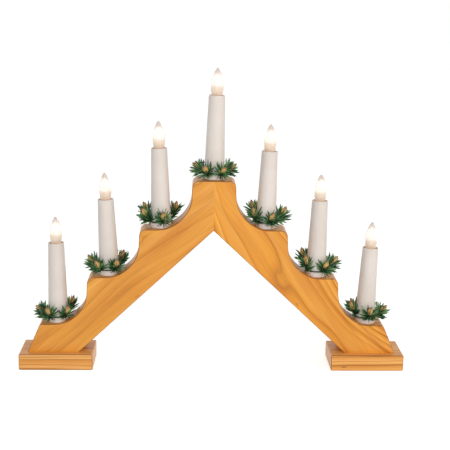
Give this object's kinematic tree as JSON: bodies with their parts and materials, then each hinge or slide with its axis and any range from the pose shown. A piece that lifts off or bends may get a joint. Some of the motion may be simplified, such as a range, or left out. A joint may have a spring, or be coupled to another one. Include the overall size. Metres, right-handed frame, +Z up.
{
  "type": "candle arch",
  "caption": "Stepped wooden candle arch on two feet, with electric candles in tapered ivory sleeves and a small fir wreath round each",
  "frame": {"origin": "Middle of the arch's width and depth, at the underside of its feet", "axes": "+X to the right along the arch, +Y to the back, +Z up; the picture looks along +Y"},
  "size_m": [0.4, 0.046, 0.3109],
  "materials": {
    "arm_pine": "clear lacquered amber pine",
    "foot_pine": "clear lacquered amber pine",
    "beech": "plain beech",
    "cover_strip": "plain stained strip",
    "screw_steel": "zinc plated",
    "pin_brass": "plain brass",
    "wire_insulation": "soft insulation",
    "collar_plastic": "satin ivory",
    "sleeve_plastic": "satin ivory, slightly translucent",
    "socket_plastic": "moulded cream plastic",
    "lamp_glass": "clear glass, lit from inside",
    "lamp_brass": "bright brass screw cap",
    "wreath_wire": "dark green lacquered wire",
    "wreath_needles": "dark green needles, tan buds"
  },
  "bodies": {
    "root": {"left_arm": "arm_pine", "right_arm": "arm_pine", "left_foot": "foot_pine", "right_foot": "foot_pine", "mitre_dowels": "beech", "foot_screws": "screw_steel", "left_groove_cover": "cover_strip", "right_groove_cover": "cover_strip", "cover_pins": "pin_brass", "series_wiring": "wire_insulation", "collar_1": "collar_plastic", "sleeve_1": "sleeve_plastic", "socket_1": "socket_plastic", "collar_2": "collar_plastic", "sleeve_2": "sleeve_plastic", "socket_2": "socket_plastic", "collar_3": "collar_plastic", "sleeve_3": "sleeve_plastic", "socket_3": "socket_plastic", "collar_4": "collar_plastic", "sleeve_4": "sleeve_plastic", "socket_4": "socket_plastic", "collar_5": "collar_plastic", "sleeve_5": "sleeve_plastic", "socket_5": "socket_plastic", "collar_6": "collar_plastic", "sleeve_6": "sleeve_plastic", "socket_6": "socket_plastic", "collar_7": "collar_plastic", "sleeve_7": "sleeve_plastic", "socket_7": "socket_plastic"},
    "lamp_1": {"bulb_glass_1": "lamp_glass", "bulb_cap_1": "lamp_brass"},
    "wreath_1": {"wreath_ring_1": "wreath_wire", "wreath_sprigs_1": "wreath_needles"},
    "lamp_2": {"bulb_glass_2": "lamp_glass", "bulb_cap_2": "lamp_brass"},
    "wreath_2": {"wreath_ring_2": "wreath_wire", "wreath_sprigs_2": "wreath_needles"},
    "lamp_3": {"bulb_glass_3": "lamp_glass", "bulb_cap_3": "lamp_brass"},
    "wreath_3": {"wreath_ring_3": "wreath_wire", "wreath_sprigs_3": "wreath_needles"},
    "lamp_4": {"bulb_glass_4": "lamp_glass", "bulb_cap_4": "lamp_brass"},
    "wreath_4": {"wreath_ring_4": "wreath_wire", "wreath_sprigs_4": "wreath_needles"},
    "lamp_5": {"bulb_glass_5": "lamp_glass", "bulb_cap_5": "lamp_brass"},
    "wreath_5": {"wreath_ring_5": "wreath_wire", "wreath_sprigs_5": "wreath_needles"},
    "lamp_6": {"bulb_glass_6": "lamp_glass", "bulb_cap_6": "lamp_brass"},
    "wreath_6": {"wreath_ring_6": "wreath_wire", "wreath_sprigs_6": "wreath_needles"},
    "lamp_7": {"bulb_glass_7": "lamp_glass", "bulb_cap_7": "lamp_brass"},
    "wreath_7": {"wreath_ring_7": "wreath_wire", "wreath_sprigs_7": "wreath_needles"}
  },
  "joints": [
    {"name": "lamp_1_out", "type": "slide", "parent": "root", "child": "lamp_1", "axis": [-0.0087, 0, 1], "range_m": [0, 0.03]},
    {"name": "wreath_1_off", "type": "slide", "parent": "root", "child": "wreath_1", "axis": [-0.0087, 0, 1], "range_m": [0, 0.11]},
    {"name": "lamp_2_out", "type": "slide", "parent": "root", "child": "lamp_2", "axis": [-0.0384, 0, 0.9993], "range_m": [0, 0.03]},
    {"name": "wreath_2_off", "type": "slide", "parent": "root", "child": "wreath_2", "axis": [-0.0384, 0, 0.9993], "range_m": [0, 0.11]},
    {"name": "lamp_3_out", "type": "slide", "parent": "root", "child": "lamp_3", "axis": [-0.0279, 0, 0.9996], "range_m": [0, 0.03]},
    {"name": "wreath_3_off", "type": "slide", "parent": "root", "child": "wreath_3", "axis": [-0.0279, 0, 0.9996], "range_m": [0, 0.11]},
    {"name": "lamp_4_out", "type": "slide", "parent": "root", "child": "lamp_4", "axis": [0.0209, 0, 0.9998], "range_m": [0, 0.03]},
    {"name": "wreath_4_off", "type": "slide", "parent": "root", "child": "wreath_4", "axis": [0.0209, 0, 0.9998], "range_m": [0, 0.11]},
    {"name": "lamp_5_out", "type": "slide", "parent": "root", "child": "lamp_5", "axis": [0.0297, 0, 0.9996], "range_m": [0, 0.03]},
    {"name": "wreath_5_off", "type": "slide", "parent": "root", "child": "wreath_5", "axis": [0.0297, 0, 0.9996], "range_m": [0, 0.11]},
    {"name": "lamp_6_out", "type": "slide", "parent": "root", "child": "lamp_6", "axis": [0.0209, 0, 0.9998], "range_m": [0, 0.03]},
    {"name": "wreath_6_off", "type": "slide", "parent": "root", "child": "wreath_6", "axis": [0.0209, 0, 0.9998], "range_m": [0, 0.11]},
    {"name": "lamp_7_out", "type": "slide", "parent": "root", "child": "lamp_7", "axis": [0.0314, 0, 0.9995], "range_m": [0, 0.03]},
    {"name": "wreath_7_off", "type": "slide", "parent": "root", "child": "wreath_7", "axis": [0.0314, 0, 0.9995], "range_m": [0, 0.11]}
  ]
}
